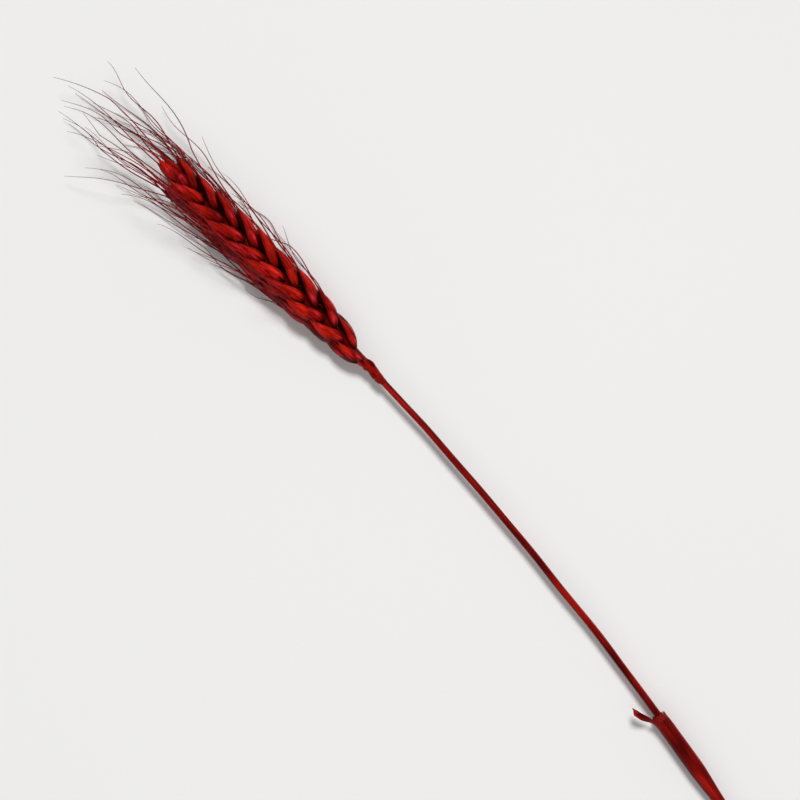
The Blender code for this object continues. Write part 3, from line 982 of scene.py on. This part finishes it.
def outerRing(skin, s):
    joint = min(stalk["joints"], key=lambda j: abs(j - s))
    radius = strawRadius(s) - swelling(abs(s - joint), *straw["pinch"])
    shade = 1 - swelling(s - joint, *straw["jointDark"])
    streakHere = streak["most"] * plateau(s, *streak["span"])
    streakTurn = streak["turn"] + s * streak["drift"]
    around, along = straw["unevenFineness"]
    row = []
    for turn in ringTurns(straw["sides"]):
        uneven = roughness(0.0, math.cos(turn) * around, math.sin(turn) * around, s * along)
        shape = straw["oval"] * math.cos(2 * turn + s * straw["ovalDrift"])
        shape += straw["ribDepth"] * math.cos(straw["ribs"] * turn)
        shape += straw["unevenness"] * uneven
        place = strawPoint(s, turn, radius * (1 + shape))
        pale = max(paleUnderJoint(s), streakHere * hump(turn, streakTurn, streak["width"]))
        row.append(skin.point(place, ringGrain(s, turn, straw["grainSpread"]), shade=shade, pale=pale))
    return row


def innerRing(skin, s):
    # the bore is painted dark inside as shade; the cut itself is pale
    look = straw["cutLook"] if s < straw["cutRim"] else straw["boreLook"]
    radius = strawRadius(min(s, straw["boreEven"])) - straw["wall"]
    row = []
    for turn in ringTurns(straw["sides"]):
        grain = ringGrain(s, turn, straw["grainSpread"])
        row.append(skin.point(strawPoint(s, turn, radius), grain, 0.5, *look))
    return row


def makeStraw():
    skin = Skin()
    outer = [outerRing(skin, s) for s in strawPlaces()]
    inner = [innerRing(skin, s) for s in straw["boreRings"]]
    skin.loft(outer)
    skin.loft([inner[0], outer[0]])
    skin.loft(inner[::-1])
    skin.fan(inner[-1], skin.point(stalkPoint(straw["boreRings"][-1]), shade=straw["boreEndShade"]))
    skin.fan(outer[-1], skin.point(stalkPoint(stalk["strawLength"] + rachis["seat"])))
    skin.piece("hollowStraw", strawPaint, "red_straw", ["straw"])


makeStraw()
print("straw drawn")


# the leaf sheaths: each a rolled sheet with an overlap, a torn mouth, a ligule and a blade stub

sheaths = {
    "flag": dict(node="flag_leaf_sheath", foot=0.2045, mouth=0.3350, stubTurn=math.radians(20),
                 slitTurn=math.radians(140), seed=5, twist=math.radians(75)),
    "lower": dict(node="lower_leaf_sheath", foot=0.0545, mouth=0.1280, stubTurn=math.radians(150),
                  slitTurn=math.radians(40), seed=9, twist=math.radians(-60)),
    "gap": 0.00008,
    "wall": 0.00046,
    "sheet": 0.00020,
    "innerEdge": 0.15,  # how far out in the wall the inner edge is already, as a share
    "bulge": 0.00086,  # fullest between the next two places below the mouth, gone at the third
    "bulgeTop": 0.004,
    "bulgeFoot": 0.018,
    "bulgeEnd": 0.034,
    "mouthDraw": 0.30,  # how far the mouth itself draws in
    "wrap": math.radians(398),
    "steps": 72,
    "ringStep": 0.0016,
    "tear": 0.0018,
    "tearWaves": (9.0, 31.0),
    "ripple": 0.00012,
    "ripplesPerMetre": 90,
    "ribs": 26,
    "ribDepth": 0.000035,
    "footPinch": (0.00012, 0.0030, 0.0012),
    "grainSpread": 2.2,
    "edgePale": 0.6,
    "edgeFade": 30,
    "mouthFade": (0.0016, 0.0006),
    "footShade": 0.55,
    "footLength": 0.010,
    "insideLook": (0.25, 0.15),  # shade and paleness on the inside of the sheet; the shade is painted
}

ligule = dict(height=0.0014, root=0.0020, sheet=0.00010, gap=0.00008, flare=0.00014, ragged=0.5,
              sides=40, seedStep=20, shade=0.9, pale=0.55)

stub = dict(length=0.0095, width=0.0034, sheet=0.00026, flare=0.0034, flarePower=1.6, root=0.0030,
            hold=0.8,  # how far out in the sheath's wall it starts
            twistFrom=0.25, flattens=(0.2, 0.7), taper=0.55, taperPower=1.4, tear=0.0022,
            tipRound=0.0010, curl=0.0005, crumple=0.0002, tipPale=0.6, edgePale=0.35,
            underShade=0.6, grainSpread=1.6, steps=22, wide=10)


def sheathInside(s, mouth):
    below = mouth - s
    full = 1 - easeIn(below, sheaths["bulgeFoot"], sheaths["bulgeEnd"])
    full *= 1 - sheaths["mouthDraw"] * (1 - easeIn(below, 0.0, sheaths["bulgeTop"]))
    return strawRadius(s) + sheaths["gap"] + sheaths["bulge"] * full


def sheathLayer(leaf, s, p, turn):
    # how far out the sheet is, where p runs from its inner edge to its outer one
    ripple = roughness(leaf["seed"], math.cos(turn), math.sin(turn), s * sheaths["ripplesPerMetre"])
    wound = sheaths["innerEdge"] + (1 - sheaths["innerEdge"]) * p
    layer = sheathInside(s, leaf["mouth"]) + (sheaths["wall"] - sheaths["sheet"]) * wound
    layer += sheaths["ripple"] * ripple
    layer += sheaths["ribDepth"] * math.cos(sheaths["ribs"] * turn)
    return layer - swelling(s - leaf["foot"], *sheaths["footPinch"])


def sheathLook(leaf, s, p):
    # darker at its foot, paler along both edges and at the mouth
    shade = sheaths["footShade"]
    shade += (1 - shade) * easeIn(s, leaf["foot"], leaf["foot"] + sheaths["footLength"])
    fadeFrom, fadeTo = sheaths["mouthFade"]
    atMouth = easeIn(s, leaf["mouth"] - fadeFrom, leaf["mouth"] + fadeTo)
    atEdge = max(0.0, 1 - min(p, 1 - p) * sheaths["edgeFade"])
    return shade, sheaths["edgePale"] * max(atEdge, atMouth)


def addSheath(skin, leaf):
    foot, mouth, seed = leaf["foot"], leaf["mouth"], leaf["seed"]
    wide, narrow = sheaths["tearWaves"]
    count = round((mouth - foot) / sheaths["ringStep"])
    rows = []
    for k in range(count + 1):
        outer, inner = [], []
        for j in range(sheaths["steps"] + 1):
            p = j / sheaths["steps"]
            turn = leaf["slitTurn"] + sheaths["wrap"] * (p - 0.5) + math.pi
            torn = sheaths["tear"] * (roughness(seed, p * wide) + 0.5 * roughness(seed, p * narrow, 2.0))
            s = foot + (mouth + torn - foot) * k / count
            layer = sheathLayer(leaf, s, p, turn)
            grain = ringGrain(s, turn, sheaths["grainSpread"])
            shade, pale = sheathLook(leaf, s, p)
            outside = pressed(ringPoint(s, turn, layer + sheaths["sheet"]))
            inside = pressed(ringPoint(s, turn, layer))
            outer.append(skin.point(outside, grain, shade=shade, pale=pale))
            inner.append(skin.point(inside, grain, 0.5, *sheaths["insideLook"]))
        rows.append(outer + inner[::-1])
    skin.sheet(rows)


def addLigule(skin, leaf):
    # the thin ragged collar that stands up from the mouth round the straw
    mouth, seed = leaf["mouth"], leaf["seed"] + ligule["seedStep"]
    rows = []
    for part, thick in ((0.0, 0), (0.5, 0), (1.0, 0), (1.0, 1), (0.5, 1), (0.0, 1)):
        row = []
        for turn in ringTurns(ligule["sides"]):
            ragged = ligule["ragged"] * roughness(seed, math.cos(turn) * 3, math.sin(turn) * 3)
            height = ligule["root"] + ligule["height"] * (0.5 + ragged)
            s = mouth - ligule["root"] + height * part
            reach = strawRadius(s) + ligule["gap"] + ligule["sheet"] * thick + ligule["flare"] * part
            row.append(skin.point(ringPoint(s, turn, reach), ringGrain(s, turn),
                                  shade=ligule["shade"], pale=ligule["pale"] * part))
        rows.append(row)
    skin.loft(rows[::-1] + [rows[-1]])


def stubShape(seed, hug, t, p):
    # how far along, aside and away a place on the stub lies
    torn = stub["tear"] * roughness(seed, p * 2.6, 4.0) - stub["tipRound"] * abs(p)
    width = stub["width"] / 2 * (1 - stub["taper"] * t ** stub["taperPower"]) * p
    hugging = hug - math.sqrt(hug * hug - min(width * width, hug * hug * 0.9))
    hugging *= 1 - easeIn(t, *stub["flattens"])
    curl = stub["curl"] * p * p * easeIn(t, 0.3, 1.0) + stub["crumple"] * roughness(seed, p * 2, t * 4)
    return t * (stub["length"] + torn), width, curl - hugging


def addStub(skin, leaf):
    # what is left of the blade: it leaves the mouth in the sheath's own curve, flattens and twists
    mouth, seed = leaf["mouth"], leaf["seed"]
    across, up, along = stalkAxes(mouth)
    away = swung(across, up, leaf["stubTurn"])
    side = along.cross(away)
    hug = sheathInside(mouth, mouth) + sheaths["wall"] * stub["hold"]
    rows = []
    for k in range(stub["steps"] + 1):
        t = k / stub["steps"]
        twist = Matrix.Rotation(leaf["twist"] * easeIn(t, stub["twistFrom"], 1.0), 3, along)
        nowSide, nowAway = twist @ side, twist @ away
        flare = stub["flare"] * t ** stub["flarePower"]
        middle = stalkPoint(mouth - stub["root"]) + away * (hug + flare)
        upper, under = [], []
        for j in range(stub["wide"] + 1):
            p = 2 * j / stub["wide"] - 1
            reach, width, lift = stubShape(seed, hug, t, p)
            place = middle + along * reach + nowSide * width + nowAway * lift
            pale = stub["tipPale"] * easeIn(t, 0.85, 1.0)
            pale = max(pale, stub["edgePale"] * easeIn(abs(p), 0.75, 1.0))
            grain = (p * stub["grainSpread"], seed, t * stub["length"] * 1000)
            upper.append(skin.point(place + nowAway * stub["sheet"], grain, pale=pale))
            under.append(skin.point(place, grain, shade=stub["underShade"], pale=pale))
        rows.append(upper + under[::-1])
    skin.sheet(rows)


def makeSheaths():
    for name in ("flag", "lower"):
        leaf = sheaths[name]
        rolled, blade = Skin(), Skin()
        addSheath(rolled, leaf)
        addLigule(blade, leaf)
        addStub(blade, leaf)
        rolled.piece(name + "LeafSheath", leafPaint, "red_sheath", [leaf["node"]])
        blade.piece(name + "BladeStub", leafPaint, "red_sheath", [leaf["node"]])


makeSheaths()
print("sheaths wrapped")


# table, light and camera

studio = {
    "tableSize": 6.0,
    "skyColour": (1.0, 0.99, 0.98, 1.0),
    "skyStrength": 0.22,
    "key": ((-0.40, 0.34, 0.85), math.radians(16), 2.30),  # where from, spread and power
    "fill": ((0.50, -0.50, 0.90), math.radians(60), 0.45),
    "lens": 85.0,
    "frameWidth": 0.242,
    "roll": math.radians(51),  # turns the stalk onto the picture's diagonal
    "aimAt": 0.459,
}

tablePaintLook = dict(tones=((0.3, (0.868, 0.865, 0.861)), (0.7, (0.908, 0.905, 0.900))),
                      clouds=9.0, gloss=(1.0, 1.0, 1.0, 1.0), glossLevel=0.2, roughness=0.75)


def makeTable():
    look = tablePaintLook
    paint, tree = startPaint("paleTable", look)
    cloud = addNode(tree, "ShaderNodeTexNoise", {"Scale": look["clouds"], "Detail": 3.0}).outputs["Fac"]
    bpy.ops.mesh.primitive_plane_add(size=studio["tableSize"], location=(0, 0, 0))
    table = bpy.context.object
    table.name = "paleTable"
    table.data.materials.append(finishPaint(paint, ramp(tree, cloud, look["tones"])))


def makeLamp(name, comesFrom, spread, power):
    # a distant soft lamp, so the whole table gets the same light
    lamp = bpy.data.lights.new(name, "SUN")
    lamp.angle, lamp.energy = spread, power
    made = addObject(name, lamp)
    made.location = comesFrom
    made.rotation_euler = (-Vector(comesFrom)).to_track_quat("-Z", "Y").to_euler()


def makeCamera(aim):
    camera = bpy.data.cameras.new("overheadCamera")
    camera.lens = studio["lens"]
    camera.clip_start = 0.01
    made = addObject("overheadCamera", camera)
    distance = studio["frameWidth"] * camera.lens / camera.sensor_width
    right = Vector((math.cos(studio["roll"]), math.sin(studio["roll"]), 0.0))
    turn = Matrix((right, upward.cross(right), upward)).transposed().to_4x4()
    turn.translation = aim + upward * distance
    made.matrix_world = turn
    bpy.context.scene.camera = made


def makeStudio():
    scene = bpy.context.scene
    scene.view_settings.view_transform = "Standard"
    sky = bpy.data.worlds.new("softSky")
    sky.use_nodes = True
    background = sky.node_tree.nodes["Background"]
    background.inputs["Color"].default_value = studio["skyColour"]
    background.inputs["Strength"].default_value = studio["skyStrength"]
    scene.world = sky
    makeTable()
    makeLamp("keyLamp", *studio["key"])
    makeLamp("fillLamp", *studio["fill"])
    makeCamera(stalkPoint(studio["aimAt"]))


makeStudio()
print("studio lit")
